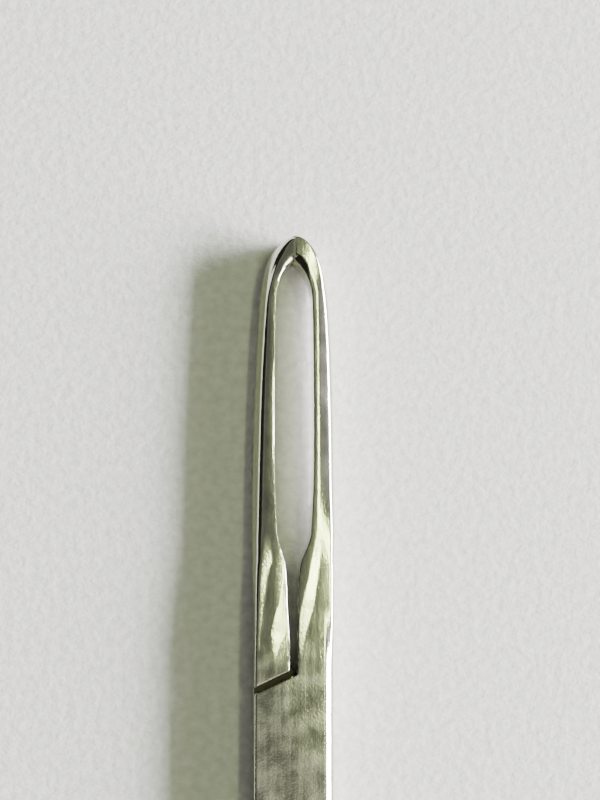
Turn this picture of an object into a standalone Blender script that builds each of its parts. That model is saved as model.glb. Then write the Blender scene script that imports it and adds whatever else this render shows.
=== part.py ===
"""Toothed tissue forceps with finger rings, a ratchet and a box lock, lying flat and closed.

The instrument is three pieces: a box half, whose lock is a slotted box, a tongue half, whose thin tongue
passes through that slot, and the rivet pin that both turn on. The frame's origin is on the pin's axis at
the lock's underside, +Y runs towards the tips, +X to the right seen from above, and +Z up along the pin.
Lengths below are in millimetres and become metres when a mesh is made.
"""

import math

import bmesh
import bpy

MM = 0.001

# Lock
THICKNESS = 4.8  # of the lock, the rings and the toothed tips, which all lie on one surface
MIDDLE = THICKNESS / 2
LOCK_HALF_WIDTH = 3.95
LOCK_EDGE_RADIUS = 0.9
CHEEK = 1.4  # each wall of the box, above and below the tongue
TONGUE_PLAY = 0.05  # between the tongue and each cheek
STEP_SLOPE = math.tan(math.radians(25))  # the lock's end edges slope in plan
STEP_AT_SIDE = 6.35  # where a cheek's end edge meets the lock's side
STEP_GAP = 0.7  # between a cheek's end and the tongue half's shoulder
BLOCK_END = 9.9  # the lock's blank runs this far each way before the cutters shape it
HUB_RADIUS = 3.2  # round middle of the tongue
SLOT_PLAY = 0.1  # between the tongue's edge and the box's side walls
SIDE_WALL_END = 2.2  # a side wall stops this far short of the pin's centre line
SHOULDER_TOP = 9.35  # inner end of the tongue half's shoulder
OUTSIDE = 6.0  # half width of the cutters, past the lock's sides
BEYOND = 11.0  # how far the cutters run along the lock

# Pin
PIN_RADIUS = 1.3
PIN_HOLE_RADIUS = 1.34
ROUND_STEPS = 32

# Teeth at the tips: five on the box half, four on the tongue half
TOOTH_PITCH = 1.1
TOOTH_DEPTH = 0.6
TOOTH_GAP = 0.1
TEETH_FROM, TEETH_TO = 48.8, 53.0  # stretch of the jaw that the tooth cutter covers

# Ratchet
RATCHET_Y = -69.5
RATCHET_WIDTH = 4.2
RATCHET_ROOT = 8.4  # where a bar starts, inside its shank
RATCHET_END = 0.5  # where a bar ends, short of the centre line
RATCHET_BACK = 1.9  # from the middle plane to a bar's smooth face
RATCHET_CREST = 0.25  # crests reach this far past the middle plane
RATCHET_PITCH = 1.6
RATCHET_DEPTH = 0.75
RATCHET_TEETH = 3

# Finger ring
RING_CENTRE = (18.2, -89.6)
RING_HOLE = (9.8, 12.0)  # half axes of the opening
RING_BAND = 3.5
RING_TILT = math.radians(9)
RING_EDGE_RADIUS = 1.65
RING_STEPS = 52

CORNER_STEPS = 3  # faces round each edge of a section
PER_SPAN = 3  # sections between two rows of a table

# Rows run away from the lock: outer x, outer y, inner x, inner y, half thickness, edge radius.
ARM_ROWS = [
    (4.10, 20.5, 1.42, 20.5, 1.97, 0.80),
    (4.10, 21.6, 1.68, 21.6, 1.94, 0.80),
    (4.09, 23.5, 1.88, 23.5, 1.90, 0.80),
    (4.06, 27.0, 2.04, 27.0, 1.84, 0.78),
    (3.97, 32.0, 2.07, 32.0, 1.78, 0.76),
    (3.82, 37.0, 2.02, 37.0, 1.74, 0.74),
    (3.61, 41.5, 1.93, 41.5, 1.72, 0.68),
    (3.38, 45.3, 1.86, 45.3, 1.78, 0.60),
    (3.18, 47.1, 1.74, 46.6, 1.92, 0.54),
    (2.82, 48.8, 1.42, 47.6, 2.10, 0.48),
    (2.30, 50.2, 0.98, 48.45, 2.28, 0.44),
    (1.62, 51.2, 0.54, 49.1, 2.37, 0.40),
    (0.85, 51.8, 0.16, 49.6, 2.40, 0.36),
    (0.10, 52.0, -0.20, 49.85, 2.40, 0.34),
    (-0.55, 52.05, -0.60, 50.0, 2.40, 0.34),
]
# Outer x, y, inner x of the box half, inner x of the tongue half, half thickness: the slit's two sides
SLIT_ROWS = [
    (3.95, 10.0, 0.38, 0.30, 2.39),
    (3.98, 12.5, 0.31, 0.47, 2.33),
    (4.02, 15.0, 0.38, 0.59, 2.22),
    (4.06, 17.6, 0.48, 0.68, 2.09),
    (4.09, 19.2, 0.72, 0.88, 2.02),
    (4.10, 19.9, 1.02, 1.12, 1.98),
]
SHANK_ROWS = [
    (3.96, -10.0, 0.38, -10.0, 2.38, 0.95),
    (4.20, -14.0, 0.98, -14.0, 2.30, 1.10),
    (4.90, -20.0, 1.78, -20.0, 2.18, 1.25),
    (6.20, -31.0, 3.20, -31.0, 2.06, 1.35),
    (7.85, -45.0, 4.88, -45.0, 2.00, 1.35),
    (9.25, -58.0, 6.22, -58.0, 2.04, 1.35),
    (10.05, -66.0, 6.80, -66.0, 2.12, 1.40),
    (11.10, -73.0, 6.95, -73.0, 2.22, 1.45),
    (11.90, -78.0, 6.55, -78.6, 2.24, 1.50),
    (9.60, -82.0, 6.90, -83.4, 2.10, 1.50),
]


def material(name, colour, roughness):
    """A metal finish."""
    made = bpy.data.materials.new(name)
    made.use_nodes = True
    shader = made.node_tree.nodes["Principled BSDF"]
    shader.inputs["Base Color"].default_value = (*colour, 1.0)
    shader.inputs["Metallic"].default_value = 1.0
    shader.inputs["Roughness"].default_value = roughness
    return made


def catmull(a, b, c, d, t):
    """The value between b and c of a smooth curve through four values in a row."""
    return b + 0.5 * t * (c - a + t * (2 * a - 5 * b + 4 * c - d + t * (3 * (b - c) + d - a)))


def smooth_rows(rows):
    """The rows with PER_SPAN smooth steps between each two."""
    padded = [rows[0], *rows, rows[-1]]
    found = []
    for i in range(len(rows) - 1):
        around = padded[i : i + 4]
        for step in range(PER_SPAN):
            found.append(tuple(catmull(*column, step / PER_SPAN) for column in zip(*around)))
    return [*found, rows[-1]]


def section(right, left, half_thickness, radius):
    """A rounded rectangle that stands on the plan line from one point to another, as a loop of points."""
    run = (right[0] - left[0], right[1] - left[1])
    half_width = math.hypot(*run) / 2
    along = (run[0] / half_width / 2, run[1] / half_width / 2)
    middle = ((right[0] + left[0]) / 2, (right[1] + left[1]) / 2)
    radius = min(radius, 0.96 * half_width, 0.96 * half_thickness)
    loop = []
    for corner, (sideways, upwards) in enumerate(((1, 1), (-1, 1), (-1, -1), (1, -1))):
        for step in range(CORNER_STEPS + 1):
            turn = math.radians(90) * (corner + step / CORNER_STEPS)
            u = sideways * (half_width - radius) + radius * math.cos(turn)
            v = upwards * (half_thickness - radius) + radius * math.sin(turn)
            loop.append((middle[0] + along[0] * u, middle[1] + along[1] * u, MIDDLE + v))
    return loop


def mesh_object(name, shape):
    """Puts a bmesh in millimetres into the scene as an object in metres."""
    bmesh.ops.recalc_face_normals(shape, faces=shape.faces)
    bmesh.ops.scale(shape, vec=(MM, MM, MM), verts=shape.verts)
    mesh = bpy.data.meshes.new(name)
    shape.to_mesh(mesh)
    shape.free()
    made = bpy.data.objects.new(name, mesh)
    bpy.context.scene.collection.objects.link(made)
    return made


def loft(name, loops, closed=False):
    """A solid through a row of section loops; closed joins the last to the first, as in a ring."""
    shape = bmesh.new()
    rows = [[shape.verts.new(point) for point in loop] for loop in loops]
    pairs = list(zip(rows, rows[1:]))
    if closed:
        pairs.append((rows[-1], rows[0]))
    else:
        shape.faces.new(rows[0])
        shape.faces.new(rows[-1])
    for first, second in pairs:
        for i in range(len(first)):
            j = (i + 1) % len(first)
            shape.faces.new((first[i], first[j], second[j], second[i]))
    return mesh_object(name, shape)


def prism(name, outline, low, high, upright=True):
    """An outline extruded from low to high: a plan outline along z, or one in x and z along y."""
    shape = bmesh.new()
    corners = [(u, v, low) if upright else (u, low, v) for u, v in outline]
    face = shape.faces.new([shape.verts.new(corner) for corner in corners])
    grown = bmesh.ops.extrude_face_region(shape, geom=[face])["geom"]
    raised = [item for item in grown if isinstance(item, bmesh.types.BMVert)]
    rise = (0, 0, high - low) if upright else (0, high - low, 0)
    bmesh.ops.translate(shape, vec=rise, verts=raised)
    return mesh_object(name, shape)


def cylinder(name, radius, low, high):
    """An upright cylinder on the pin's axis."""
    turns = [math.tau * step / ROUND_STEPS for step in range(ROUND_STEPS)]
    return prism(name, [(radius * math.cos(t), radius * math.sin(t)) for t in turns], low, high)


def combine(piece, tool, operation):
    """Cuts a hidden tool from a piece, or joins it on."""
    tool.hide_render = True
    tool.display_type = "WIRE"
    modifier = piece.modifiers.new(tool.name, "BOOLEAN")
    modifier.operation = operation
    modifier.object = tool


def turned(outline):
    """A plan outline turned half round about the pin's axis."""
    return [(-x, -y) for x, y in outline]


def jaw_rows(half):
    """A jaw's rows from lock to tip, for half 0, the box half, or 1, the tongue half."""
    slit = [
        (outer, y, inner[half], y, thick, LOCK_EDGE_RADIUS)
        for outer, y, *inner, thick in SLIT_ROWS
    ]
    return smooth_rows(slit + ARM_ROWS)


def blank(name, jaw, side):
    """One half before its lock is cut. Its jaw is on the given side, 1 for +X, and its shank on the other."""
    tip_to_lock = [
        section((side * ox, oy), (side * ix, iy), thick, radius)
        for ox, oy, ix, iy, thick, radius in reversed(jaw)
    ]
    block = [
        section((side * LOCK_HALF_WIDTH, y), (-side * LOCK_HALF_WIDTH, y), MIDDLE, LOCK_EDGE_RADIUS)
        for y in (BLOCK_END, 0.0, -BLOCK_END)
    ]
    lock_to_ring = [
        section((-side * ix, iy), (-side * ox, oy), thick, radius)
        for ox, oy, ix, iy, thick, radius in smooth_rows(SHANK_ROWS)
    ]
    return loft(name, tip_to_lock + block + lock_to_ring)


def finger_ring(name, side):
    """The oval ring at a shank's end."""
    loops = []
    for step in range(RING_STEPS):
        turn = math.tau * step / RING_STEPS
        u, v = math.cos(turn), math.sin(turn)
        length = math.hypot(u / RING_HOLE[0], v / RING_HOLE[1])
        normal = (u / RING_HOLE[0] / length, v / RING_HOLE[1] / length)
        edges = []
        for out in (RING_BAND, 0.0):
            x = RING_HOLE[0] * u + out * normal[0]
            y = RING_HOLE[1] * v + out * normal[1]
            across = x * math.cos(RING_TILT) - y * math.sin(RING_TILT)
            along = x * math.sin(RING_TILT) + y * math.cos(RING_TILT)
            edges.append((side * (RING_CENTRE[0] + across), RING_CENTRE[1] + along))
        loops.append(section(*edges, MIDDLE, RING_EDGE_RADIUS))
    return loft(name, loops, closed=True)


def ratchet_bar(name, side, up):
    """A toothed bar from the shank on the given side; up is 1 where its teeth face up. Its steep faces
    look back at its own shank, so that they hold the shanks together."""
    crest = RATCHET_CREST
    root = crest - RATCHET_DEPTH
    profile = [(RATCHET_ROOT, -RATCHET_BACK), (RATCHET_END, -RATCHET_BACK), (RATCHET_END, root)]
    for tooth in range(RATCHET_TEETH):
        start = RATCHET_END + tooth * RATCHET_PITCH
        profile.append((start + RATCHET_PITCH * 0.85, crest))
        profile.append((start + RATCHET_PITCH, root))
    profile.append((RATCHET_ROOT, root))
    outline = [(side * x, MIDDLE + up * z) for x, z in profile]
    half = RATCHET_WIDTH / 2
    return prism(name, outline, RATCHET_Y - half, RATCHET_Y + half, upright=False)


def tooth_line():
    """The zigzag in x and z, from below to above the tips, that the two halves' teeth meet along."""
    line = []
    for step in range(-5, 6):
        peak = -1 if step % 2 == 0 else 1
        line.append((peak * TOOTH_DEPTH / 2, MIDDLE + step * TOOTH_PITCH / 2))
    return line


def tooth_cutter(name, side):
    """Clears a tip on the given side past the tooth line."""
    shifted = [(x + side * TOOTH_GAP / 2, z) for x, z in tooth_line()]
    behind = -side * 3.0
    outline = [(behind, shifted[0][1]), *shifted, (behind, shifted[-1][1])]
    return prism(name, outline, TEETH_FROM, TEETH_TO, upright=False)


def step_line(x, gap=0.0):
    """Height in plan of a cheek's end edge at x, or of a line that far beyond it."""
    rise = STEP_AT_SIDE + (x + LOCK_HALF_WIDTH) * STEP_SLOPE
    return rise + gap * math.hypot(1, STEP_SLOPE)


def tangent_to_hub(point, radius):
    """Where the line from a point touches a circle round the pin, on its +X side."""
    away = math.atan2(point[1], point[0]) - math.acos(radius / math.hypot(*point))
    return (radius * math.cos(away), radius * math.sin(away))


def cheek_end_cutter():
    """Plan outline that ends the box on the side where the tongue half's jaw leaves it."""
    inner = SLIT_ROWS[0][2] - 0.03
    return [
        (-OUTSIDE, step_line(-OUTSIDE)),
        (inner - 0.1, step_line(inner - 0.1)),
        (inner, step_line(inner) + 0.2),
        (inner, BEYOND),
        (-OUTSIDE, BEYOND),
    ]


def slot_outline():
    """Plan outline of the room between the cheeks."""
    start = (-0.25, SHOULDER_TOP)
    touch = tangent_to_hub(start, HUB_RADIUS)
    run = (touch[0] - start[0], touch[1] - start[1])
    reach = math.hypot(*run)
    top = (start[0] - run[1] / reach * SLOT_PLAY, start[1] + run[0] / reach * SLOT_PLAY)
    wall_x = top[0] + (top[1] - SIDE_WALL_END) * -run[0] / run[1]
    half = [
        (-OUTSIDE, BEYOND),
        (top[0], BEYOND),
        top,
        (wall_x, SIDE_WALL_END),
        (OUTSIDE, SIDE_WALL_END),
    ]
    return half + turned(half)


def tongue_side_outline():
    """Plan outline of what is cut from the tongue half's blank beside its hub, on the +X side."""
    start = (-0.25, SHOULDER_TOP)
    first = tangent_to_hub(start, HUB_RADIUS)
    angle = math.atan2(first[1], first[0])
    last = math.radians(-5)
    arc = [angle + (last - angle) * step / 5 for step in range(6)]
    hub = [(HUB_RADIUS * math.cos(a), HUB_RADIUS * math.sin(a)) for a in arc]
    past = OUTSIDE - hub[-1][0]
    return [(-0.22, BEYOND), start, *hub, (OUTSIDE, hub[-1][1] - past), (OUTSIDE, BEYOND)]


def cheek_room_outline():
    """Plan outline of what is cut above and below the tongue, between the two shoulders."""
    half = [
        (-OUTSIDE, step_line(-OUTSIDE, STEP_GAP)),
        (-0.75, step_line(-0.75, STEP_GAP)),
        (-0.15, SHOULDER_TOP),
        (-0.10, BEYOND),
        (OUTSIDE, BEYOND),
    ]
    return half + turned(half)


def box_half(steel):
    """The half whose lock is the slotted box: right jaw, left shank and ring."""
    half = blank("box_half", jaw_rows(0), 1)
    half.data.materials.append(steel)
    combine(half, finger_ring("box_ring", -1), "UNION")
    combine(half, ratchet_bar("box_ratchet", -1, -1), "UNION")
    below, above = -1.0, THICKNESS + 1.0
    end = cheek_end_cutter()
    combine(half, prism("box_end_upper", end, below, above), "DIFFERENCE")
    combine(half, prism("box_end_lower", turned(end), below, above), "DIFFERENCE")
    combine(half, prism("box_slot", slot_outline(), CHEEK, THICKNESS - CHEEK), "DIFFERENCE")
    combine(half, cylinder("box_pin_hole", PIN_HOLE_RADIUS, below, above), "DIFFERENCE")
    combine(half, tooth_cutter("box_teeth", 1), "DIFFERENCE")
    return half


def tongue_half(steel):
    """The half whose tongue passes through the box: left jaw, right shank and ring."""
    half = blank("tongue_half", jaw_rows(1), -1)
    half.data.materials.append(steel)
    combine(half, finger_ring("tongue_ring", 1), "UNION")
    combine(half, ratchet_bar("tongue_ratchet", 1, 1), "UNION")
    below, above = -1.0, THICKNESS + 1.0
    side = tongue_side_outline()
    combine(half, prism("tongue_side_right", side, below, above), "DIFFERENCE")
    combine(half, prism("tongue_side_left", turned(side), below, above), "DIFFERENCE")
    room = cheek_room_outline()
    face = CHEEK + TONGUE_PLAY
    combine(half, prism("tongue_room_low", room, below, face), "DIFFERENCE")
    combine(half, prism("tongue_room_high", room, THICKNESS - face, above), "DIFFERENCE")
    combine(half, cylinder("tongue_pin_hole", PIN_HOLE_RADIUS, below, above), "DIFFERENCE")
    combine(half, tooth_cutter("tongue_teeth", -1), "DIFFERENCE")
    return half


def main():
    for old in list(bpy.data.objects):
        bpy.data.objects.remove(old)
    satin = material("satin_steel", (0.62, 0.63, 0.60), 0.3)
    ground = material("ground_steel", (0.60, 0.61, 0.59), 0.34)
    box_half(satin)
    tongue_half(satin)
    pin = cylinder("pivot_pin", PIN_RADIUS, 0.0, THICKNESS)
    pin.data.materials.append(ground)
    for piece in bpy.data.objects:
        piece.data.shade_smooth()
        piece.data.set_sharp_from_angle(angle=math.radians(35))


main()
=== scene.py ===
"""Toothed tissue forceps in satin stainless steel, closed and lying on white paper.

The two forgings and the pin are meshed from distance fields. A field gives the distance to a piece's
surface, in millimetres and negative inside, on a grid whose lines are closer together where the piece is
finer. The mesh is where the field is zero, so that fillets, rounded edges and the lock's cuts are all one
smooth skin. Sizes are in millimetres in the frame of the CAD model, until a mesh is made in metres.
"""

import math

import bpy
import numpy as np
from mathutils import Matrix, Vector


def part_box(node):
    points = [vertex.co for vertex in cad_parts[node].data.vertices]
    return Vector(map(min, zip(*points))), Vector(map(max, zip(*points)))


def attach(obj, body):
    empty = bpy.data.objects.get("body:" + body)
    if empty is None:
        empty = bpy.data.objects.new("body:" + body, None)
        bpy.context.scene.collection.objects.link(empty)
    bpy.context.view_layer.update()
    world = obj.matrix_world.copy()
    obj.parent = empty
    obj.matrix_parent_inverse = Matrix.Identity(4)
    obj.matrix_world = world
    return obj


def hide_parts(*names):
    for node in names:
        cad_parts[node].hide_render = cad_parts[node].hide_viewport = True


MM = 0.001

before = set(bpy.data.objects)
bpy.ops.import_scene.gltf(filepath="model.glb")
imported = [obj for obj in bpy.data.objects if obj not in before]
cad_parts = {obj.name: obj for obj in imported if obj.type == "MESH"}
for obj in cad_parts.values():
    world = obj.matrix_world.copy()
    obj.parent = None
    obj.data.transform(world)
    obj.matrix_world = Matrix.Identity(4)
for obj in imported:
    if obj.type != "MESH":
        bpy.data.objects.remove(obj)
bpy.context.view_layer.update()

# Lock and pin
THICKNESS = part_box("pivot_pin")[1].z / MM
MIDDLE = THICKNESS / 2
LOCK_HALF_WIDTH = 3.95
BLOCK_END = 9.9
CHEEK = 1.4
TONGUE_PLAY = 0.05
STEP_SLOPE = math.tan(math.radians(25))
STEP_AT_SIDE = 6.35
STEP_GAP = 0.55
LOCK_CROWN = 0.08
BEVEL_SLOPE = 0.68
BEVEL_FROM = 2.92
BEVEL_WIDTH = 0.42
BEVEL_TO = 15.5
LOCK_EDGE = 0.26
LOCK_DRAFT = 0.04
HUB_RADIUS = 3.2
SLOT_PLAY = 0.1
SIDE_WALL_END = 2.2
SHOULDER_TOP = 9.35
SHOULDER_CORNER = (-0.25, SHOULDER_TOP)
OUTSIDE = 6.0
BEYOND = 11.0
PIN_RADIUS = 1.3
PIN_SEAM = 0.003
PIN_HOLE_RADIUS = 1.34
RIM_REACH = 0.1

# Teeth
TOOTH_PITCH = 1.1
TOOTH_DEPTH = 0.6
TOOTH_GAP = 0.10
TOOTH_EDGE = 0.03
CLAWS_FROM = 46.6

# Ratchet
RATCHET_Y = -69.5
RATCHET_WIDTH = 4.2
RATCHET_ROOT = 8.4
RATCHET_END = 0.5
RATCHET_BACK = 1.9
RATCHET_CREST = 0.25
RATCHET_PITCH = 1.6
RATCHET_DEPTH = 0.75
RATCHET_TEETH = 3

# Finger ring
RING_CENTRE = (18.2, -89.6)
RING_HOLE = (9.8, 12.0)
RING_BAND = 3.5
RING_TILT = math.radians(9)
RING_THICKNESS = 2.38
RING_EDGE = 1.66

# How far the corners of cuts and joins are rounded
FILLET = 1.6
CUT_EDGE = 0.13
BORE_EDGE = 0.05
BAR_FILLET = 0.5
BAR_EDGE = 0.25

# How far from the middle the two drafts of a side turn into each other, and how far past the border between
# two parts of a half their faces blend
PARTING = 0.25
BLEND = 0.35

# Distance between the dense rows, the weights that smooth them, and the distance at which a field ends
ROW_SPACING = 0.12
SMOOTHING = np.array([1, 2, 3, 4, 3, 2, 1]) / 16
FAR = 0.7

# Rows across the jaws and shanks: outer x, outer y, inner x, inner y, outer and inner half thickness, outer
# and inner edge radius, crown, and draft, which is how far the outer side leans in for each millimetre
# above or below the middle
OUTER_THICK, INNER_THICK, OUTER_RADIUS, INNER_RADIUS, CROWN, DRAFT = range(4, 10)
JAW_ROWS = [
    (3.95, 6.0, 0.36, 6.0, 2.36, 2.40, 0.26, 0.10, 0.02, 0.03),
    (3.95, 9.0, 0.36, 9.0, 2.36, 2.40, 0.26, 0.10, 0.02, 0.04),
]
SLIT_ROWS = {
    "box_half": [
        (4.02, 12.0, 0.33, 12.0, 2.33, 2.38, 0.28, 0.10, 0.02, 0.07),
        (4.10, 15.0, 0.38, 15.0, 2.24, 2.28, 0.32, 0.10, 0.02, 0.10),
        (4.17, 17.6, 0.46, 17.6, 2.08, 2.16, 0.34, 0.10, 0.02, 0.13),
        (4.20, 19.2, 0.70, 19.2, 2.00, 2.09, 0.34, 0.10, 0.01, 0.14),
        (4.20, 19.9, 1.00, 19.9, 1.95, 2.07, 0.34, 0.10, 0.01, 0.15),
    ],
    "tongue_half": [
        (3.97, 12.0, 0.42, 12.0, 2.36, 2.34, 0.28, 0.12, 0.06, 0.08),
        (4.02, 15.0, 0.59, 15.0, 2.24, 2.22, 0.32, 0.12, 0.07, 0.12),
        (4.06, 17.6, 0.68, 17.6, 2.12, 2.06, 0.36, 0.12, 0.07, 0.18),
        (4.09, 19.2, 0.86, 19.2, 1.96, 2.00, 0.42, 0.12, 0.06, 0.23),
        (4.10, 19.9, 1.08, 19.9, 1.84, 1.98, 0.45, 0.10, 0.05, 0.26),
    ],
}
ARM_ROWS = {
    "box_half": [
        (4.20, 21.6, 1.60, 21.6, 1.78, 2.03, 0.32, 0.08, 0.01, 0.16),
        (4.18, 23.5, 1.76, 23.5, 1.64, 2.00, 0.30, 0.07, 0.01, 0.17),
        (4.12, 27.0, 1.92, 27.0, 1.42, 1.96, 0.28, 0.07, 0.01, 0.18),
        (4.07, 32.0, 1.98, 32.0, 1.29, 1.91, 0.26, 0.07, 0.01, 0.18),
        (3.98, 37.0, 1.97, 37.0, 1.23, 1.88, 0.26, 0.07, 0.01, 0.18),
        (3.82, 41.5, 1.93, 41.5, 1.28, 1.87, 0.24, 0.07, 0.01, 0.18),
        (3.58, 45.3, 1.86, 45.3, 1.38, 1.92, 0.24, 0.07, 0.01, 0.17),
    ],
    "tongue_half": [
        (4.10, 21.6, 1.60, 21.6, 1.50, 1.98, 0.42, 0.08, 0.01, 0.29),
        (4.09, 23.5, 1.76, 23.5, 1.47, 1.98, 0.42, 0.07, 0.01, 0.33),
        (4.06, 27.0, 1.92, 27.0, 1.42, 1.94, 0.40, 0.07, 0.01, 0.36),
        (3.97, 32.0, 1.98, 32.0, 1.32, 1.88, 0.38, 0.07, 0.01, 0.39),
        (3.82, 37.0, 1.97, 37.0, 1.22, 1.84, 0.36, 0.07, 0.01, 0.40),
        (3.61, 41.5, 1.93, 41.5, 1.16, 1.84, 0.34, 0.07, 0.01, 0.40),
        (3.38, 45.3, 1.86, 45.3, 1.30, 1.90, 0.34, 0.07, 0.01, 0.38),
    ],
}
TIP_ROWS = {
    "box_half": [
        (3.34, 47.1, 1.74, 46.6, 1.62, 2.02, 0.26, 0.07, 0.01, 0.15),
        (2.92, 48.9, 1.42, 47.6, 1.90, 2.14, 0.24, 0.06, 0.01, 0.12),
        (2.36, 50.35, 0.98, 48.45, 2.18, 2.32, 0.24, 0.05, 0.01, 0.10),
        (1.64, 51.4, 0.54, 49.1, 2.34, 2.38, 0.22, 0.05, 0.0, 0.07),
        (0.85, 52.0, 0.16, 49.6, 2.40, 2.40, 0.20, 0.05, 0.0, 0.05),
        (0.10, 52.2, -0.20, 49.85, 2.40, 2.40, 0.20, 0.05, 0.0, 0.04),
        (-0.55, 52.2, -0.60, 50.0, 2.40, 2.40, 0.20, 0.05, 0.0, 0.04),
    ],
    "tongue_half": [
        (3.20, 47.1, 1.74, 46.6, 1.50, 1.98, 0.50, 0.07, 0.03, 0.38),
        (2.84, 48.9, 1.42, 47.6, 1.45, 2.12, 0.70, 0.06, 0.04, 0.34),
        (2.32, 50.3, 0.98, 48.45, 1.50, 2.30, 0.80, 0.05, 0.04, 0.28),
        (1.63, 51.3, 0.54, 49.1, 1.60, 2.38, 0.80, 0.05, 0.03, 0.22),
        (0.85, 51.92, 0.16, 49.6, 1.80, 2.40, 0.65, 0.05, 0.02, 0.16),
        (0.10, 52.18, -0.20, 49.85, 2.00, 2.40, 0.45, 0.05, 0.0, 0.10),
        (-0.55, 52.2, -0.60, 50.0, 2.10, 2.40, 0.40, 0.05, 0.0, 0.10),
    ],
}
SHANK_ROWS = [
    (3.95, -7.0, 0.36, -7.0, 2.38, 2.38, 0.80, 0.40, 0.10, 0.04),
    (3.96, -10.0, 0.36, -10.0, 2.36, 2.36, 0.85, 0.45, 0.12, 0.05),
    (4.20, -14.0, 0.98, -14.0, 2.28, 2.28, 1.00, 0.80, 0.16, 0.06),
    (4.90, -20.0, 1.78, -20.0, 2.16, 2.16, 1.20, 1.10, 0.20, 0.08),
    (6.20, -31.0, 3.20, -31.0, 2.06, 2.06, 1.30, 1.25, 0.20, 0.08),
    (7.85, -45.0, 4.88, -45.0, 2.00, 2.00, 1.32, 1.30, 0.20, 0.08),
    (9.25, -58.0, 6.22, -58.0, 2.04, 2.04, 1.32, 1.32, 0.20, 0.08),
    (10.05, -66.0, 6.80, -66.0, 2.12, 2.12, 1.36, 1.36, 0.20, 0.06),
    (11.10, -73.0, 6.95, -73.0, 2.22, 2.22, 1.42, 1.42, 0.16, 0.04),
    (11.90, -78.0, 6.55, -78.6, 2.30, 2.30, 1.50, 1.50, 0.10, 0.02),
    (9.60, -82.0, 6.90, -83.4, 2.36, 2.36, 1.58, 1.58, 0.05, 0.0),
]

# How wide the sloped facet is along the inner edge of each claw, from arm to tip, and how steep
FACET_AT = (45.8, 46.8, 47.6, 48.4, 49.2, 50.0)
FACET = {
    "box_half": (0.0, 0.0, 0.22, 0.62, 0.72, 0.50),
    "tongue_half": (0.0, 0.0, 0.16, 0.36, 0.42, 0.34),
}
FACET_SLOPE = 0.65

# How much of the rows' fall from the inner to the outer side the tongue half has. The box half has all of
# it, in two ground facets: how far each starts from the inner or the outer edge, how steep it is, and how
# softly it turns.
TONGUE_FALL = 0.4
FIRST_FACET, FIRST_SLOPE = 0.55, 0.38
LAST_FACET, LAST_SLOPE = 0.45, 0.32
FACET_TURN = 0.14

# Bands that the grinding wheel left across each shoulder: places along the half, and where the band's left
# and right edges are there. The face falls by BAND_SLOPE across a band.
BANDS = {
    "box_half": [
        (9.5, 0.30, 0.50),
        (10.8, 0.35, 0.80),
        (13.0, 0.40, 1.35),
        (14.8, 0.65, 1.90),
        (17.8, 1.45, 2.40),
        (20.8, 2.05, 2.70),
        (22.8, 2.35, 2.90),
    ],
    "tongue_half": [
        (9.5, -1.95, -1.85),
        (11.0, -2.10, -1.45),
        (12.5, -2.25, -0.80),
        (14.0, -1.90, -0.70),
        (15.5, -1.35, -0.65),
        (18.0, -1.00, -0.70),
        (20.0, -1.00, -0.80),
    ],
}
OUTER_BAND = [
    (9.5, -3.75, -3.65),
    (11.0, -3.68, -3.40),
    (14.8, -3.50, -3.00),
    (17.8, -3.35, -2.60),
    (19.5, -3.30, -2.10),
    (21.0, -3.20, -2.30),
    (22.8, -3.10, -2.60),
]
BAND_SLOPE = 0.115
BANDS_FROM, BANDS_TO = 9.2, 23.0

# The arms sit this much higher than the lock's middle, from one place along them to another
ARM_RISE = 0.10
RISE_FROM, RISE_TO = 21.0, 47.5

# Stretches along the tongue half on which its inner edge stays crisp, and the worn one, on which it is not
CONTACT_FROM = 49.4
ARM_EDGE = (20.6, 47.5)
SLIT_END = (9.6, 11.8)
WORN = (28.5, 40.0)

# Grid lines: stretches of (start, end, step)
ALONG = [
    (-106.0, -72.4, 0.26),
    (-72.4, -66.6, 0.12),
    (-66.6, -11.0, 0.36),
    (-11.0, 11.0, 0.13),
    (11.0, 21.0, 0.14),
    (21.0, 45.6, 0.24),
    (45.6, 52.6, 0.075),
]
ACROSS = [(-5.0, -2.4, 0.1), (-2.4, 2.4, 0.08), (2.4, 5.0, 0.1), (5.0, 32.6, 0.24)]
UPRIGHT = [(-0.36, 5.16, 0.12)]
ALONG_PIN = [(-1.7, 1.7, 0.05)]
UPRIGHT_PIN = [(-0.3, 5.1, 0.08)]

# How far below the table and above the lock the tools for the cuts reach
BELOW, ABOVE = -1.0, THICKNESS + 1.0

# Steel: colour, and how rough its flat faces and its edges are
STEEL = (0.71, 0.715, 0.60)
FLAT_ROUGHNESS, EDGE_ROUGHNESS = 0.20, 0.11
# Painted shade: the dark colour given to the flat faces inside the lock, in place of the shade that falls
# in its recesses
RECESS_SHADE = (0.085, 0.085, 0.060)

# Colours of the surroundings, from the far left to the upper right, and of the bright strip in them
SKY = [
    (0.0, (0.020, 0.020, 0.016)),
    (0.12, (0.140, 0.147, 0.122)),
    (0.30, (0.200, 0.208, 0.190)),
    (0.50, (0.110, 0.116, 0.104)),
    (0.60, (0.100, 0.106, 0.096)),
    (0.70, (0.200, 0.206, 0.172)),
    (0.95, (0.155, 0.16, 0.14)),
]
STRIP = (1.6, 1.52, 1.43)


def spaced(stretches):
    """Grid lines over stretches that follow each other."""
    lines = [np.linspace(a, b, max(2, round((b - a) / step) + 1)) for a, b, step in stretches]
    return np.unique(np.round(np.concatenate(lines), 6))


def catmull(a, b, c, d, t):
    """The value between b and c of a smooth curve through four values in a row."""
    return b + 0.5 * t * (c - a + t * (2 * a - 5 * b + 4 * c - d + t * (3 * (b - c) + d - a)))


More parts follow.
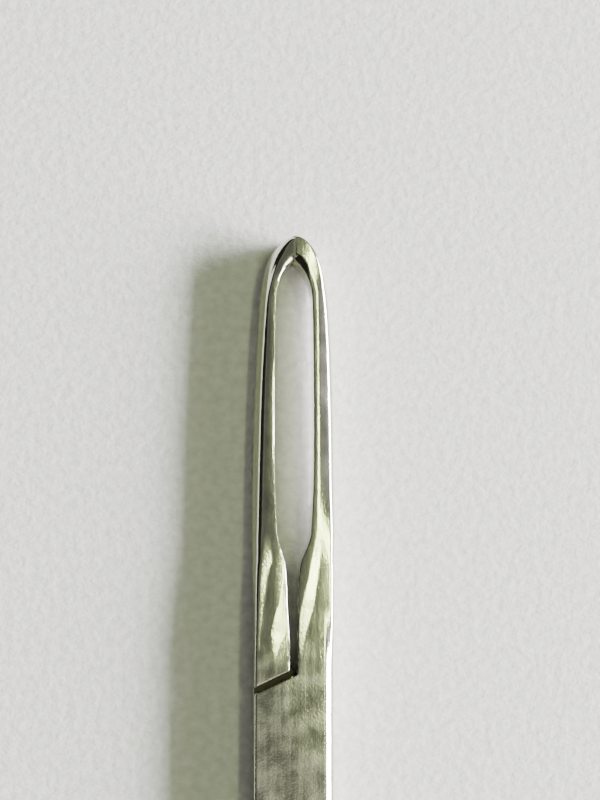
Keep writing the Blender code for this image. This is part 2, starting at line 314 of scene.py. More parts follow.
def smooth_rows(rows):
    """The rows with smooth steps between them, about ROW_SPACING apart."""
    padded = np.array([rows[0], *rows, rows[-1]], float)
    found = []
    for i in range(len(rows) - 1):
        a, b, c, d = padded[i : i + 4]
        steps = max(2, round(float(np.hypot(*(c - b)[:2])) / ROW_SPACING))
        found += [catmull(a, b, c, d, step / steps) for step in range(steps)]
    dense = np.pad(np.array([*found, padded[-1]]), ((3, 3), (0, 0)), "reflect", reflect_type="odd")
    return np.stack([np.convolve(column, SMOOTHING, "valid") for column in dense.T], 1)


def blend_min(a, b, width):
    """The smaller of two distances, with a fillet where they are within width of each other."""
    near = np.maximum(width - np.abs(a - b), 0.0) / width
    return np.minimum(a, b) - near * near * width / 4


def blend_max(a, b, width):
    """The larger of two distances, with the corner between them rounded off."""
    return -blend_min(-a, -b, width)


def hinge(t):
    """0 below 0 and t above it, with a smooth turn."""
    return (np.hypot(t, FACET_TURN) + t) / 2


def faceted(inwards, width):
    """The share of its fall that a face with two ground facets has, at a distance from its inner edge."""
    fall = FIRST_SLOPE * hinge(inwards - FIRST_FACET) + LAST_SLOPE * hinge(inwards - width + LAST_FACET)
    return fall / (FIRST_SLOPE * (width - FIRST_FACET) + LAST_SLOPE * LAST_FACET)


def middle_line(rows):
    """The line midway between the sides of dense rows: its points, their spacing and its direction."""
    centre = (rows[:, 0:2] + rows[:, 2:4]) / 2
    step = np.gradient(centre, axis=0)
    spacing = np.hypot(step[:, 0], step[:, 1])
    return centre, spacing, step / spacing[:, None]


def place_along(centre, spacing, along, x, y):
    """Where points in plan are along a middle line, counted in rows."""
    squared = (x[:, None] - centre[:, 0]) ** 2 + (y[:, None] - centre[:, 1]) ** 2
    near = squared.argmin(1)
    offset = (x - centre[near, 0]) * along[near, 0] + (y - centre[near, 1]) * along[near, 1]
    return near + offset / spacing[near]


def fall_share(mix, reach, half):
    """The share of its fall that a face has, at -1 on the inner side to 1 on the outer one."""
    if half == "box_half":
        return faceted((mix + 1) * reach, 2 * reach)
    return ((mix + 1) / 2) ** 3 * TONGUE_FALL


def ribbon(rows, x, y, half=None, closed=False):
    """Plan distance, half thickness, edge radius and draft, at points in plan, of a band that runs through
    dense rows. half names the half whose jaw the band is, if it is a jaw. A closed band has no ends."""
    centre, spacing, along = middle_line(rows)
    chord = rows[:, 0:2] - rows[:, 2:4]
    half_width = np.abs(chord[:, 0] * along[:, 1] - chord[:, 1] * along[:, 0]) / 2
    outward = np.sign(chord[0, 0] * along[0, 1] - chord[0, 1] * along[0, 0])
    place = place_along(centre, spacing, along, x, y)
    past_end = -FAR if closed else np.maximum(-place, place - (len(rows) - 1)) * ROW_SPACING

    def at(column):
        return np.interp(place, np.arange(len(rows)), column)

    run_x, run_y = at(along[:, 0]), at(along[:, 1])
    sideways = (x - at(centre[:, 0])) * run_y - (y - at(centre[:, 1])) * run_x
    across = outward * sideways / np.hypot(run_x, run_y)
    reach = at(half_width)
    mix = np.clip(across / reach, -1, 1)
    outer, inner = at(rows[:, OUTER_THICK]), at(rows[:, INNER_THICK])
    thick = inner + (outer - inner) * fall_share(mix, reach, half) - at(rows[:, CROWN]) * mix * mix
    if half:
        width = at(np.interp(rows[:, 3], FACET_AT, FACET[half], left=0.0))
        thick = thick - FACET_SLOPE * np.maximum(width - np.maximum(across + reach, 0), 0)
    outwards = smooth_step((mix + 0.4) / 0.5)
    inner_radius = at(rows[:, INNER_RADIUS])
    radius = inner_radius + (at(rows[:, OUTER_RADIUS]) - inner_radius) * outwards
    return np.maximum(np.abs(across) - reach, past_end), thick, radius, at(rows[:, DRAFT]) * outwards


def smooth_step(t):
    """0 up to 0, 1 from 1 on, and smooth between."""
    t = np.clip(t, 0, 1)
    return t * t * (3 - 2 * t)


def ring_rows():
    """Rows round the finger ring, whose opening is an ellipse."""
    turn = np.linspace(0, math.tau, 900)
    u, v = np.cos(turn), np.sin(turn)
    length = np.hypot(u / RING_HOLE[0], v / RING_HOLE[1])
    rows = []
    for out in (RING_BAND, 0.0):
        x = RING_HOLE[0] * u + out * u / RING_HOLE[0] / length
        y = RING_HOLE[1] * v + out * v / RING_HOLE[1] / length
        rows.append(RING_CENTRE[0] + x * math.cos(RING_TILT) - y * math.sin(RING_TILT))
        rows.append(RING_CENTRE[1] + x * math.sin(RING_TILT) + y * math.cos(RING_TILT))
    same = np.ones(len(turn))
    section = (RING_THICKNESS, RING_THICKNESS, RING_EDGE, RING_EDGE, 0.05, 0.0)
    return np.stack([*rows, *[value * same for value in section]], 1)


def block(x, y):
    """The lock's blank: plan distance, half thickness, edge radius and draft."""
    crown = LOCK_CROWN * np.clip(x / LOCK_HALF_WIDTH, -1, 1) ** 2
    distance = np.maximum(np.abs(x) - LOCK_HALF_WIDTH, np.abs(y) - BLOCK_END)
    return distance, MIDDLE - crown, np.full(x.shape, LOCK_EDGE), np.full(x.shape, LOCK_DRAFT)


def bevel(x, y):
    """How far the lock's face falls away towards its right edge."""
    past = (np.minimum(x, LOCK_HALF_WIDTH) - BEVEL_FROM) / BEVEL_WIDTH
    turn = np.clip(past, 0, 1)
    fall = BEVEL_SLOPE * BEVEL_WIDTH * (turn**3 - turn**4 / 2 + np.maximum(past - 1, 0))
    return fall * smooth_step((BEVEL_TO - np.abs(y)) / 7)


def waviness(x, y):
    """How far hand grinding leaves the steel from true, in millimetres."""
    slow = np.sin(0.9 * x + 0.31 * y + 1.0) * np.sin(0.23 * y - 0.4 * x) * 0.010
    quick = np.sin(2.3 * x + 0.9 * y + 0.3) * np.sin(1.1 * y - 1.9 * x + 2.0) * 0.004
    return slow + quick


def lock_face(x, y):
    """Half the lock's thickness as it is ground, without the bevel."""
    return block(x, y)[1] + waviness(x, y)


def band_drop(rows, x, y):
    """How far the face falls from the left of a band to x."""
    places, left, right = np.array(rows).T
    start, end = np.interp(y, places, left), np.interp(y, places, right)
    return BAND_SLOPE * (np.clip(x, start, end) - start)


def grinding(node, x, y):
    """How far the shoulder's face lies below its rows."""
    fade = smooth_step((y - BANDS_FROM) / 2) * smooth_step((BANDS_TO - y) / 3)
    drop = band_drop(BANDS[node], x, y)
    if node == "tongue_half":
        drop = drop + band_drop(OUTER_BAND, x, y)
    return drop * fade


def blank(node, side, x, y):
    """One half in plan before its lock is cut. Its jaw is on the given side and its shank on the other."""
    jaw = smooth_rows(JAW_ROWS + SLIT_ROWS[node] + ARM_ROWS[node] + TIP_ROWS[node])
    shank = smooth_rows(SHANK_ROWS)
    parts = [
        ribbon(jaw, side * x, y, node),
        block(x, y),
        ribbon(shank, -side * x, y),
        ribbon(ring_rows(), -side * x, y, closed=True),
    ]
    nearest = np.minimum.reduce([part[0] for part in parts])
    weights = [np.exp(-(part[0] - nearest) / BLEND) for part in parts]
    total = sum(weights)
    thick, radius, draft = (sum(w * part[k] for w, part in zip(weights, parts)) / total for k in (1, 2, 3))
    distance = np.minimum(parts[0][0], parts[1][0])
    distance = np.minimum(distance, blend_min(parts[2][0], parts[3][0], FILLET))
    return distance, thick + waviness(x, y) - bevel(x, y) - grinding(node, x, y), radius, draft


def polygon(outline, x, y):
    """Signed distance in plan to an outline, negative inside."""
    best = np.full(x.shape, np.inf)
    inside = np.zeros(x.shape, bool)
    for (ax, ay), (bx, by) in zip(outline, outline[1:] + outline[:1]):
        run_x, run_y = bx - ax, by - ay
        share = np.clip(((x - ax) * run_x + (y - ay) * run_y) / (run_x**2 + run_y**2), 0, 1)
        best = np.minimum(best, np.hypot(x - ax - share * run_x, y - ay - share * run_y))
        if run_y:
            crosses = (ay > y) != (by > y)
            inside ^= crosses & (x < ax + (y - ay) * run_x / run_y)
    return np.where(inside, -best, best)


def turned(outline):
    """A plan outline turned half round about the pin's axis."""
    return [(-x, -y) for x, y in outline]


def step_line(x, gap=0.0):
    """Height in plan of a cheek's end edge at x, or of a line that far beyond it."""
    return STEP_AT_SIDE + (x + 4.1) * STEP_SLOPE + gap * math.hypot(1, STEP_SLOPE)


def tangent_to_hub(point, radius):
    """Where the line from a point touches a circle round the pin, on its +X side."""
    away = math.atan2(point[1], point[0]) - math.acos(radius / math.hypot(*point))
    return (radius * math.cos(away), radius * math.sin(away))


def cheek_end_outline():
    """Ends the box on the side where the tongue half's jaw leaves it."""
    inner = 0.35
    corner = [(inner - 0.1, step_line(inner - 0.1)), (inner, step_line(inner) + 0.2)]
    return [(-OUTSIDE, step_line(-OUTSIDE)), *corner, (inner, BEYOND), (-OUTSIDE, BEYOND)]


def slot_outline():
    """The room between the cheeks."""
    start = SHOULDER_CORNER
    touch = tangent_to_hub(start, HUB_RADIUS)
    run = (touch[0] - start[0], touch[1] - start[1])
    reach = math.hypot(*run)
    top = (start[0] - run[1] / reach * SLOT_PLAY, start[1] + run[0] / reach * SLOT_PLAY)
    wall_x = top[0] + (top[1] - SIDE_WALL_END) * -run[0] / run[1]
    half = [(-OUTSIDE, BEYOND), (top[0], BEYOND), top, (wall_x, SIDE_WALL_END), (OUTSIDE, SIDE_WALL_END)]
    return half + turned(half)


def tongue_side_outline():
    """What is cut from the tongue half's blank beside its hub, on the +X side."""
    start = SHOULDER_CORNER
    first = tangent_to_hub(start, HUB_RADIUS)
    angle = math.atan2(first[1], first[0])
    last = math.radians(-5)
    arc = [angle + (last - angle) * step / 12 for step in range(13)]
    hub = [(HUB_RADIUS * math.cos(a), HUB_RADIUS * math.sin(a)) for a in arc]
    past = OUTSIDE - hub[-1][0]
    above = [(-0.38, BEYOND), (-0.38, SHOULDER_TOP + 0.2), start]
    return [*above, *hub, (OUTSIDE, hub[-1][1] - past), (OUTSIDE, BEYOND)]


def cheek_room_outline():
    """What is cut above and below the tongue, between the two shoulders."""
    near_side = [(-OUTSIDE, step_line(-OUTSIDE, STEP_GAP)), (-0.42, step_line(-0.42, STEP_GAP))]
    half = [*near_side, (-0.40, SHOULDER_TOP), (-0.40, BEYOND), (OUTSIDE, BEYOND)]
    return half + turned(half)


def zigzag(z, pitch, depth):
    """A wave of straight teeth along z, between plus and minus half its depth."""
    phase = (z - MIDDLE) / pitch + 0.5
    return (4 * np.abs(phase - np.floor(phase + 0.5)) - 1) * depth / 2


class Piece:
    """A piece's field on its grid, worked out only in the columns that the piece reaches."""

    def __init__(self, lines_x, lines_y, lines_z, plan):
        """plan gives plan distance, half thickness, edge radius and draft at points in plan."""
        self.lines = (lines_x, lines_y, lines_z)
        grid_x, grid_y = np.meshgrid(lines_x, lines_y, indexing="ij")
        x, y = grid_x.ravel(), grid_y.ravel()
        chunk = 20000
        parts = [plan(x[i : i + chunk], y[i : i + chunk]) for i in range(0, len(x), chunk)]
        distance, thick, radius, draft = (np.concatenate(values) for values in zip(*parts))
        self.columns = np.flatnonzero(distance < FAR)
        self.x, self.y = x[self.columns], y[self.columns]
        rise = ARM_RISE * smooth_step((self.y - RISE_FROM) / 12) * smooth_step((RISE_TO - self.y) / 7)
        self.z = lines_z[None, :] - rise[:, None]
        self.plan_distance = distance[self.columns]
        thick, radius, draft = (part[self.columns, None] for part in (thick, radius, draft))
        radius = np.minimum(radius, 0.97 * thick)
        height = np.hypot(self.z - MIDDLE, PARTING) - PARTING
        out = (self.plan_distance[:, None] + draft * height) / np.sqrt(1 + draft**2) + radius
        up = np.abs(self.z - MIDDLE) - thick + radius
        corner = np.hypot(np.maximum(out, 0), np.maximum(up, 0))
        self.values = corner + np.minimum(np.maximum(out, up), 0) - radius

    def cut(self, tool, edge=CUT_EDGE):
        """Takes a tool's field from the piece and rounds the edges that it leaves."""
        self.values = blend_max(self.values, -tool, edge)

    def prism(self, outline, low, high):
        """The field of a plan outline between two heights."""
        plan = polygon(outline, self.x, self.y)[:, None]
        return np.maximum(plan, np.maximum(low - self.z, self.z - high))

    def bore(self, radius):
        """The field of a hole along the pin's axis."""
        return np.hypot(self.x, self.y)[:, None] - radius

    def field(self):
        """The field on the whole grid."""
        shape = tuple(len(lines) for lines in self.lines)
        whole = np.full((shape[0] * shape[1], shape[2]), FAR, np.float32)
        whole[self.columns] = np.minimum(self.values, FAR)
        return whole.reshape(shape)


def crossings(field, lines):
    """Where the surface crosses the grid's edges: for each axis, the grid indices and points, and whether
    the edge leads out of the piece there."""
    inside = field < 0
    for axis in range(3):
        here = [slice(None)] * 3
        there = [slice(None)] * 3
        here[axis], there[axis] = slice(None, -1), slice(1, None)
        index = np.argwhere(inside[tuple(here)] != inside[tuple(there)])
        step = np.eye(3, dtype=int)[axis]
        a = field[tuple(index.T)]
        b = field[tuple((index + step).T)]
        point = np.stack([lines[k][index[:, k]] for k in range(3)], 1)
        run = lines[axis][index[:, axis] + 1] - lines[axis][index[:, axis]]
        point[:, axis] += run * a / (a - b)
        yield axis, index, point, a < 0


def surface(field, lines):
    """Points, outward directions and faces of the surface where the field is zero: one point in each grid
    cell that the surface passes through, joined across each grid edge that it crosses."""
    shape = np.array(field.shape) - 1
    cells, points, quads = [], [], []
    for axis, index, point, leaving in crossings(field, lines):
        u, v = np.eye(3, dtype=int)[(axis + 1) % 3], np.eye(3, dtype=int)[(axis + 2) % 3]
        round_edge = [index - u - v, index - v, index, index - u]
        ids = np.stack([np.ravel_multi_index(tuple(cell.T), shape) for cell in round_edge], 1)
        quads.append(np.where(leaving[:, None], ids, ids[:, ::-1]))
        cells.append(ids.ravel())
        points.append(np.repeat(point, 4, axis=0))
    ids, inverse, count = np.unique(np.concatenate(cells), return_inverse=True, return_counts=True)
    every = np.concatenate(points)
    inverse = inverse.ravel()
    placed = np.stack([np.bincount(inverse, every[:, k]) / count for k in range(3)], 1)
    faces = np.searchsorted(ids, np.concatenate(quads))
    corner = np.stack(np.unravel_index(ids, shape), 1)
    return (*settled(field, lines, placed, corner), faces)


def settled(field, lines, points, corner):
    """The points moved onto the surface, and the field's direction there."""
    slopes = np.gradient(field, *lines)
    size = np.stack([lines[k][corner[:, k] + 1] - lines[k][corner[:, k]] for k in range(3)], 1)
    start = np.stack([lines[k][corner[:, k]] for k in range(3)], 1)
    for last in (False, False, True):
        share = np.clip((points - start) / size, 0, 1)
        value = np.zeros(len(points))
        slope = np.zeros((len(points), 3))
        for i in (0, 1):
            for j in (0, 1):
                for k in (0, 1):
                    parts = [share[:, n] if bit else 1 - share[:, n] for n, bit in enumerate((i, j, k))]
                    weight = parts[0] * parts[1] * parts[2]
                    at = tuple((corner + (i, j, k)).T)
                    value += weight * field[at]
                    slope += weight[:, None] * np.stack([s[at] for s in slopes], 1)
        steep = np.maximum((slope**2).sum(1), 0.05)
        if last:
            return points, slope / np.sqrt(steep)[:, None]
        move = -slope * (value / steep)[:, None]
        points = points + np.clip(move, -0.3 * size, 0.3 * size)


def crisp_rim(points, normals, radius):
    """Draws the mesh in to the sharp rim where the pin's seam meets the lock's two ground faces."""
    x, y, z = points.T
    up = np.sign(z - MIDDLE)
    near_face = np.abs(np.abs(z - MIDDLE) - lock_face(x, y)) < RIM_REACH
    reach = np.hypot(x, y)
    rim = near_face & (np.abs(reach - radius) < RIM_REACH)
    points[rim, 0] *= radius / reach[rim]
    points[rim, 1] *= radius / reach[rim]
    x, y = points[:, 0], points[:, 1]
    thick = lock_face(x, y)
    face = near_face & (reach < PIN_RADIUS + 0.3)
    points[face, 2] = (MIDDLE + up * thick)[face]
    small = 0.01
    slope_x = (lock_face(x + small, y) - thick) / small
    slope_y = (lock_face(x, y + small) - thick) / small
    normals[face] = np.stack([-slope_x, -slope_y, up], 1)[face]


def crisp_contact(points, normals):
    """Keeps the tongue half's claw flat, above and below, up to the line on which the two tips meet."""
    x, y, z = points.T
    face = (y > CONTACT_FROM) & (np.abs(z - MIDDLE) > MIDDLE - 0.16) & (np.abs(normals[:, 2]) > 0.3)
    near = face & (np.abs(x - zigzag(z, TOOTH_PITCH, TOOTH_DEPTH)) < 0.14)
    normals[near] = np.stack([0 * z, 0 * z, np.sign(z - MIDDLE)], 1)[near]


def crisp_arm(points, normals):
    """Keeps the tongue half's upper and lower faces flat up to the inner edge of its arm, but for a worn
    stretch, and up to the slit near its closed end."""
    x, y, z = points.T
    arm = (y > ARM_EDGE[0]) & (y < ARM_EDGE[1]) & (x < 0)
    slit_end = (y > SLIT_END[0]) & (y < SLIT_END[1]) & (x > -0.9) & (x < 0)
    edge = (arm | slit_end) & (normals[:, 0] > 0.1) & (np.abs(normals[:, 2]) > 0.25)
    near_face = np.abs(z - MIDDLE) > 1.2
    worn = smooth_step((y - WORN[0]) / 3) * smooth_step((WORN[1] - y) / 3)
    flat = np.stack([0.03 + 0 * z, 0 * z, np.sign(z - MIDDLE)], 1)
    mixed = flat + (normals - flat) * 0.6 * worn[:, None]
    chosen = edge & near_face
    normals[chosen] = mixed[chosen]


def add_finish(mesh, points, normals):
    """Adds the attributes that the steel's finish follows. Polish is 1 on edges and sides and 0 on the flat
    faces of the lock, and the painted shade mask is 1 on the flat faces inside it, where shade falls in the
    lock's recesses."""
    steep = np.clip((0.97 - np.abs(normals[:, 2])) / 0.1, 0, 1)
    polish = np.maximum(steep, 0.6 * smooth_step((np.abs(points[:, 1]) - 9) / 8))
    # Painted shade: marks the flat faces inside the lock's recesses, which are coloured dark and dull
    inside = (np.abs(points[:, 2] - MIDDLE) < MIDDLE - CHEEK + 0.1) & (np.abs(points[:, 1]) < BEYOND)
    recess_shade = inside & (np.abs(normals[:, 2]) > 0.5)
    for kind, values in (("polish", polish), ("recess_shade", recess_shade)):
        attribute = mesh.attributes.new(kind, "FLOAT", "POINT")
        attribute.data.foreach_set("value", values.astype(np.float32))


def steel_object(name, piece, material, rim):
    """Turns a piece's field into a mesh object, with a sharp rim of the given radius round the pin."""
    points, normals, faces = surface(piece.field(), piece.lines)
    crisp_rim(points, normals, rim)
    if name.startswith("tongue"):
        crisp_contact(points, normals)
        crisp_arm(points, normals)
    mesh = bpy.data.meshes.new(name)
    mesh.from_pydata((points * MM).tolist(), [], faces.tolist())
    mesh.shade_smooth()
    length = np.linalg.norm(normals, axis=1)
    normals = normals / np.maximum(length, 1e-6)[:, None]
    mesh.normals_split_custom_set_from_vertices(normals.tolist())
    add_finish(mesh, points, normals)
    made = bpy.data.objects.new(name, mesh)
    bpy.context.scene.collection.objects.link(made)
    made.data.materials.append(material)
    return made


def cut_teeth(piece, side):
    """Cuts the claw along the zigzag that both halves meet on."""
    line = zigzag(piece.z, TOOTH_PITCH, TOOTH_DEPTH)
    past = line + side * TOOTH_GAP / 2 - piece.x[:, None]
    steep = math.hypot(1, 2 * TOOTH_DEPTH / TOOTH_PITCH)
    claw = (piece.y > CLAWS_FROM)[:, None]
    piece.cut(np.where(claw, -side * past / steep, FAR), TOOTH_EDGE)


def ratchet(piece, side, up):
    """Joins on the toothed bar from the shank on the given side."""
    x = side * piece.x[:, None]
    z = up * (piece.z - MIDDLE)
    bar = np.maximum(RATCHET_END - x, x - RATCHET_ROOT)
    bar = blend_max(bar, np.abs(piece.y[:, None] - RATCHET_Y) - RATCHET_WIDTH / 2, BAR_EDGE)
    bar = blend_max(bar, -RATCHET_BACK - z, BAR_EDGE)
    tooth = (x - RATCHET_END) / RATCHET_PITCH
    share = tooth - np.floor(tooth)
    rise = np.where(share < 0.85, share / 0.85, (1 - share) / 0.15)
    toothed = (tooth > 0) & (tooth < RATCHET_TEETH)
    top = RATCHET_CREST - RATCHET_DEPTH * (1 - np.where(toothed, rise, 0))
    bar = blend_max(bar, (z - top) * 0.85, 0.08)
    piece.values = blend_min(piece.values, bar, BAR_FILLET)


def half_plan(node, side):
    """The plan of a half, made wide enough in the field's columns for its ratchet bar."""

    def plan(x, y):
        distance, thick, radius, draft = blank(node, side, x, y)
        along_bar = np.maximum(RATCHET_END - 0.3 + side * x, -side * x - RATCHET_ROOT)
        bar = np.maximum(along_bar, np.abs(y - RATCHET_Y) - RATCHET_WIDTH / 2 - 0.3)
        return np.where(bar < 0, np.minimum(distance, FAR - 0.01), distance), thick, radius, draft

    return plan


def grid(side):
    """Grid lines for a half whose ring is on the other side from its jaw."""
    across = spaced(ACROSS)
    return np.sort(-side * across), spaced(ALONG), spaced(UPRIGHT)


def box_half(material):
    """The half whose lock is the slotted box."""
    piece = Piece(*grid(1), half_plan("box_half", 1))
    ratchet(piece, -1, -1)
    end = cheek_end_outline()
    piece.cut(piece.prism(end, BELOW, ABOVE))
    piece.cut(piece.prism(turned(end), BELOW, ABOVE))
    piece.cut(piece.prism(slot_outline(), CHEEK, THICKNESS - CHEEK))
    piece.cut(piece.bore(PIN_RADIUS + PIN_SEAM), 0.01)
    cut_teeth(piece, 1)
    made = steel_object("box_half_steel", piece, material, PIN_RADIUS + PIN_SEAM)
    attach(made, "box_body")
    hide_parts("box_half")
    return made


def tongue_half(material):
    """The half whose tongue passes through the box."""
    piece = Piece(*grid(-1), half_plan("tongue_half", -1))
    ratchet(piece, 1, 1)
    side = tongue_side_outline()
    piece.cut(piece.prism(side, BELOW, ABOVE))
    piece.cut(piece.prism(turned(side), BELOW, ABOVE))
    cheeks = cheek_room_outline()
    face = CHEEK + TONGUE_PLAY
    piece.cut(piece.prism(cheeks, BELOW, face))
    piece.cut(piece.prism(cheeks, THICKNESS - face, ABOVE))
    piece.cut(piece.bore(PIN_HOLE_RADIUS), BORE_EDGE)
    cut_teeth(piece, -1)
    made = steel_object("tongue_half_steel", piece, material, PIN_HOLE_RADIUS)
    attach(made, "tongue_body")
    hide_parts("tongue_half")
    return made


def pivot_pin(material):
    """The rivet pin, ground flush with the lock's faces."""

    def plan(x, y):
        return np.hypot(x, y) - PIN_RADIUS, lock_face(x, y), 0.01 + 0 * x, 0 * x

    lines = spaced(ALONG_PIN)
    piece = Piece(lines, lines, spaced(UPRIGHT_PIN), plan)
    made = steel_object("pivot_pin_steel", piece, material, PIN_RADIUS)
    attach(made, "box_body")
    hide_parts("pivot_pin")
    return made


def add(tree, kind, **settings):
    """A shader node with some of its settings or inputs."""
    node = tree.nodes.new(kind)
    for name, value in settings.items():
        if hasattr(node, name):
            setattr(node, name, value)
        else:
            node.inputs[name.replace("_", " ")].default_value = value
    return node


def scaled(tree, source, scale):
    """The point coordinates of an object, scaled along each axis."""
    node = add(tree, "ShaderNodeMapping")
    node.inputs["Scale"].default_value = scale
    tree.links.new(source, node.inputs["Vector"])
    return node.outputs["Vector"]


def between(tree, value, low, high, to_low=0.0, to_high=1.0):
    """to_low at the low value, to_high at the high one, and no further."""
    spread = add(tree, "ShaderNodeMapRange")
    spread.inputs["From Min"].default_value = low
    spread.inputs["From Max"].default_value = high
    spread.inputs["To Min"].default_value = to_low
    spread.inputs["To Max"].default_value = to_high
    tree.links.new(value, spread.inputs["Value"])
    return spread.outputs["Result"]


def noise(tree, vector, scale, detail, low=0.0):
    """A noise whose value is spread between low and 1."""
    node = add(tree, "ShaderNodeTexNoise", Scale=scale, Detail=detail)
    tree.links.new(vector, node.inputs["Vector"])
    return between(tree, node.outputs["Fac"], 0.3, 0.7, low)


def maths(tree, operation, a, b):
    """A Math node on two values, each a socket or a number."""
    node = add(tree, "ShaderNodeMath", operation=operation)
    for socket, value in zip(node.inputs, (a, b)):
        if isinstance(value, (int, float)):
            socket.default_value = value
        else:
            tree.links.new(value, socket)
    return node.outputs[0]


def blend_values(tree, factor, a, b):
    """A value between a and b."""
    node = add(tree, "ShaderNodeMix")
    for name, value in (("Factor", factor), ("A", a), ("B", b)):
        if isinstance(value, (int, float)):
            node.inputs[name].default_value = value
        else:
            tree.links.new(value, node.inputs[name])
    return node.outputs[0]


def blend_colours(tree, factor, source, colour):
    """A colour between a socket's and a fixed one."""
    node = add(tree, "ShaderNodeMix", data_type="RGBA")
    tree.links.new(factor, node.inputs["Factor"])
    tree.links.new(source, node.inputs[6])
    node.inputs[7].default_value = (*colour, 1)
    return node.outputs[2]


def colour_ramp(tree, value, stops):
    """The colour for a value, from stops of a position and a colour."""
    node = add(tree, "ShaderNodeValToRGB")
    elements = node.color_ramp.elements
    for element, (position, colour) in zip(elements, (stops[0], stops[-1])):
        element.position, element.color = position, (*colour, 1)
    for position, colour in stops[1:-1]:
        elements.new(position).color = (*colour, 1)
    tree.links.new(value, node.inputs["Fac"])
    return node.outputs["Color"]


def bumped(tree, height, **settings):
    """A normal with a fine relief on it."""
    bump = add(tree, "ShaderNodeBump", **settings)
    tree.links.new(height, bump.inputs["Height"])
    return bump


def new_material(name):
    """A material with its node tree, its shader and its object's coordinates."""
    made = bpy.data.materials.new(name)
    made.use_nodes = True
    tree = made.node_tree
    place = add(tree, "ShaderNodeTexCoord").outputs["Object"]
    return made, tree, tree.nodes["Principled BSDF"], place


def steel_roughness(tree, blotches, bands, polish, recess_shade):
    """Rougher in blotches and brushed bands, smoother on polished edges, and dull where shade is painted
    inside the lock.
    """
    flat = maths(tree, "ADD", FLAT_ROUGHNESS, maths(tree, "MULTIPLY", blotches, 0.07))
    flat = maths(tree, "ADD", flat, maths(tree, "MULTIPLY", bands, 0.05))
    return blend_values(tree, recess_shade, blend_values(tree, polish, flat, EDGE_ROUGHNESS), 0.6)


def steel_colour(tree, blotches, lines, recess_shade):
    """Steel with slightly darker brush lines and blotches, and painted shade: a dark colour on the flat
    faces inside the lock.
    """
    tone = maths(tree, "ADD", maths(tree, "MULTIPLY", blotches, 0.3), maths(tree, "MULTIPLY", lines, 0.6))
    steel_tone = colour_ramp(tree, tone, [(0.0, [c * 0.86 for c in STEEL]), (1.0, STEEL)])
    # Painted shade: the lock's inner flat faces are turned to the dark colour
    return blend_colours(tree, recess_shade, steel_tone, RECESS_SHADE)


def steel(name):
    """Satin stainless steel, brushed along Y on its faces and polished on its edges."""
    made, tree, shader, place = new_material(name)
    shader.inputs["Metallic"].default_value = 1.0
    even = scaled(tree, place, (1000, 1000, 1000))
    lines = noise(tree, scaled(tree, place, (9000, 420, 9000)), 1.0, 3.0)
    bands = noise(tree, scaled(tree, place, (2600, 130, 2600)), 1.0, 2.0)
    mottle = noise(tree, even, 4.0, 4.0)
    blotches = noise(tree, even, 0.55, 4.0, -1.0)
    polish = add(tree, "ShaderNodeAttribute", attribute_name="polish").outputs["Fac"]
    # Painted shade: the mask of the lock's inner flat faces, which are coloured dark
    recess_shade = add(tree, "ShaderNodeAttribute", attribute_name="recess_shade").outputs["Fac"]
    tree.links.new(steel_roughness(tree, blotches, bands, polish, recess_shade), shader.inputs["Roughness"])
    tree.links.new(steel_colour(tree, blotches, lines, recess_shade), shader.inputs["Base Color"])
    relief = maths(tree, "ADD", maths(tree, "MULTIPLY", lines, 0.5), bands)
    relief = maths(tree, "ADD", relief, maths(tree, "MULTIPLY", mottle, 1.9))
    bump = bumped(tree, relief, Distance=0.00002)
    tree.links.new(blend_values(tree, polish, 0.20, 0.09), bump.inputs["Strength"])
    tree.links.new(bump.outputs["Normal"], shader.inputs["Normal"])
    return made


def paper():
    """White uncoated paper with a fine fibrous tooth."""
    made, tree, shader, place = new_material("paper")
    shader.inputs["Roughness"].default_value = 0.9
    shader.inputs["Specular IOR Level"].default_value = 0.2
    fibres = noise(tree, scaled(tree, place, (1000, 1000, 1000)), 1.1, 5.0)
    specks = noise(tree, scaled(tree, place, (1500, 3400, 1000)), 1.0, 2.0)
    tone = colour_ramp(tree, fibres, [(0.0, (0.70, 0.715, 0.682)), (1.0, (0.86, 0.877, 0.842))])
    tree.links.new(tone, shader.inputs["Base Color"])
    height = maths(tree, "ADD", fibres, maths(tree, "MULTIPLY", specks, 0.5))
    bump = bumped(tree, height, Distance=0.0001, Strength=0.42)
    tree.links.new(bump.outputs["Normal"], shader.inputs["Normal"])
    return made


def floor():
    """The sheet of paper that the forceps lie on."""
    size, height = 4.0, -0.00002
    mesh = bpy.data.meshes.new("paper_floor")
    corners = [(-size, -size), (size, -size), (size, size), (-size, size)]
    mesh.from_pydata([(x, y, height) for x, y in corners], [], [(0, 1, 2, 3)])
    made = bpy.data.objects.new("paper_floor", mesh)
    bpy.context.scene.collection.objects.link(made)
    mesh.materials.append(paper())


def lamp(name, tilt, heading, distance, size, power, colour):
    """An area light that faces the shoulders, tilted from straight above towards a heading from +X. Angles
    are in degrees, distance and size in metres and power in watts."""
    light = bpy.data.lights.new(name, "AREA")
    light.shape = "RECTANGLE"
    light.size, light.size_y = size
    light.energy = power
    light.color = colour
    made = bpy.data.objects.new(name, light)
    bpy.context.scene.collection.objects.link(made)
    tilt, heading = math.radians(tilt), math.radians(heading)
    away = Vector((math.sin(tilt) * math.cos(heading), math.sin(tilt) * math.sin(heading), math.cos(tilt)))
    made.location = away * distance + Vector((0, 0.02, 0))
    across = Vector((-math.sin(heading), math.cos(heading), 0))
    made.rotation_euler = Matrix((across, away.cross(across), away)).transposed().to_euler()


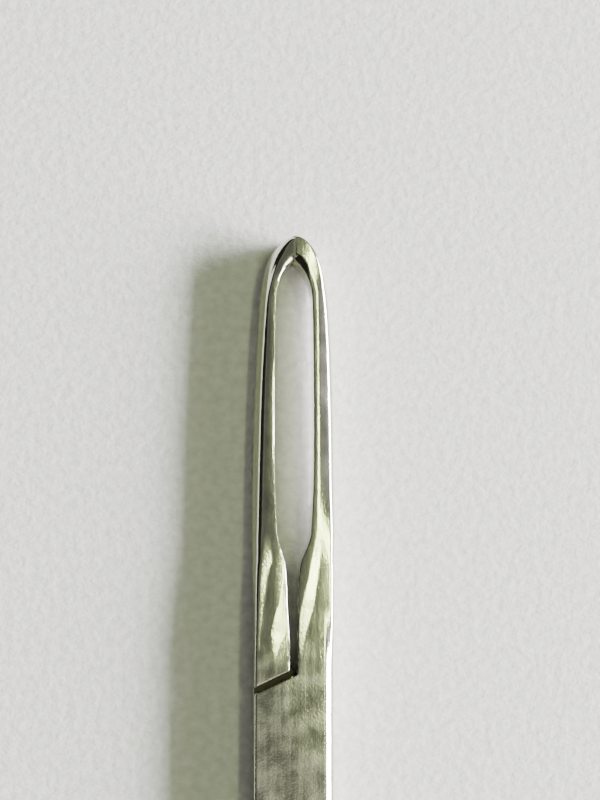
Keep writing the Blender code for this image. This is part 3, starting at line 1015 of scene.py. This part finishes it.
def strip(tree, place):
    """1 in a narrow strip of the surroundings, high up on the rings' side, and 0 elsewhere."""
    axes = add(tree, "ShaderNodeSeparateXYZ")
    tree.links.new(place, axes.inputs[0])
    towards_rings = maths(tree, "MULTIPLY", axes.outputs["Y"], -1.0)
    sideways = maths(tree, "ABSOLUTE", axes.outputs["X"], 0.0)
    rising, falling = between(tree, towards_rings, 0.22, 0.34), between(tree, towards_rings, 0.80, 0.64)
    length = maths(tree, "MULTIPLY", rising, falling)
    return maths(tree, "MULTIPLY", length, between(tree, sideways, 0.30, 0.12))


def room():
    """Dim surroundings: dark at the far left and paler above and on the right, with one bright strip."""
    world = bpy.data.worlds.new("room")
    bpy.context.scene.world = world
    world.use_nodes = True
    tree = world.node_tree
    place = add(tree, "ShaderNodeTexCoord").outputs["Generated"]
    dot = add(tree, "ShaderNodeVectorMath", operation="DOT_PRODUCT")
    dot.inputs[1].default_value = (0.8, 0.1, 0.6)
    tree.links.new(place, dot.inputs[0])
    sky = blend_colours(tree, strip(tree, place), colour_ramp(tree, dot.outputs["Value"], SKY), STRIP)
    tree.links.new(sky, tree.nodes["Background"].inputs["Color"])
    tree.nodes["Background"].inputs["Strength"].default_value = 1.0


def camera():
    """Looks down on the jaws, from slightly left of them and below their middle in plan."""
    data = bpy.data.cameras.new("camera")
    data.sensor_fit = "VERTICAL"
    data.sensor_height = 36.0
    data.lens = 70.7
    data.clip_start = 0.01
    made = bpy.data.objects.new("camera", data)
    bpy.context.scene.collection.objects.link(made)
    eye = Vector((-8.0, 18.0, 160.0)) * MM
    target = Vector((0.703, 35.63, 2.4)) * MM
    made.location = eye
    back = (eye - target).normalized()
    right = Vector((0, 1, 0)).cross(back).normalized()
    up = back.cross(right)
    made.rotation_euler = Matrix((right, up, back)).transposed().to_euler()
    bpy.context.scene.camera = made


camera()
floor()
room()
lamp("overhead", 18.5, 18, 1.2, (0.34, 0.06), 3.0, (0.84, 1.0, 0.42))
lamp("far_window", 63, -33, 1.5, (0.4, 0.3), 4.0, (1.0, 0.98, 0.90))
lamp("window", 64.5, -2, 1.5, (0.8, 0.24), 77.0, (1.0, 0.945, 0.985))
lamp("wall", 75, -2, 1.5, (1.3, 0.35), 66.0, (1.0, 0.945, 0.985))
satin = steel("satin_steel")
ground = steel("ground_steel")
box_half(satin)
tongue_half(satin)
pivot_pin(ground)
